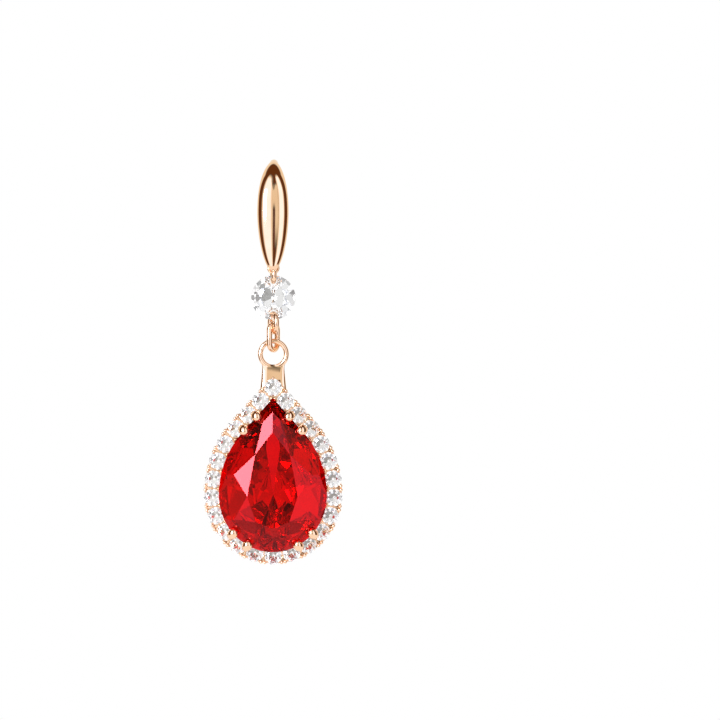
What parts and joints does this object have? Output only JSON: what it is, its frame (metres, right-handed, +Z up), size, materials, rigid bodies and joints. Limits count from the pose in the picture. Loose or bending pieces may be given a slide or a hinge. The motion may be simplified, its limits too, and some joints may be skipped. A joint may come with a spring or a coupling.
{
  "type": "teardrop earring",
  "caption": "Drop earring: open ear wire with a domed leaf front, a drilled round stone on two jump rings, an oval link and a pear-shaped halo drop with a faceted red centre stone.",
  "frame": {"origin": "underside of the ear wire's arch, halfway between the leaf and the rear wire, where it hangs on the ear lobe", "axes": "+Z up, -Y the front face with the leaf and the stones' tables, +X to the right seen from the front"},
  "size_m": [0.0128, 0.0093, 0.0377],
  "materials": {
    "rose_gold": "high polish, warm rose gold plate",
    "clear_stone": "colourless cut stone, polished facets",
    "red_stone": "deep red cut stone, polished facets"
  },
  "bodies": {
    "hanger": {"ear_hook": "rose_gold", "upper_ring": "rose_gold", "round_stone": "clear_stone", "lower_ring": "rose_gold", "oval_link": "rose_gold"},
    "drop": {"halo_frame": "rose_gold", "pear_stone": "red_stone", "halo_stone_00": "clear_stone", "halo_stone_01": "clear_stone", "halo_stone_02": "clear_stone", "halo_stone_03": "clear_stone", "halo_stone_04": "clear_stone", "halo_stone_05": "clear_stone", "halo_stone_06": "clear_stone", "halo_stone_07": "clear_stone", "halo_stone_08": "clear_stone", "halo_stone_09": "clear_stone", "halo_stone_10": "clear_stone", "halo_stone_11": "clear_stone", "halo_stone_12": "clear_stone", "halo_stone_13": "clear_stone", "halo_stone_14": "clear_stone", "halo_stone_15": "clear_stone", "halo_stone_16": "clear_stone", "halo_stone_17": "clear_stone", "halo_stone_18": "clear_stone", "halo_stone_19": "clear_stone", "halo_stone_20": "clear_stone", "halo_stone_21": "clear_stone", "halo_stone_22": "clear_stone", "halo_stone_23": "clear_stone"}
  },
  "joints": [
    {"name": "drop_swing", "type": "hinge", "parent": "hanger", "child": "drop", "pos_m": [0, -0.00203, -0.01706], "axis": [0, 1, 0], "range_deg": [-30, 30]}
  ]
}
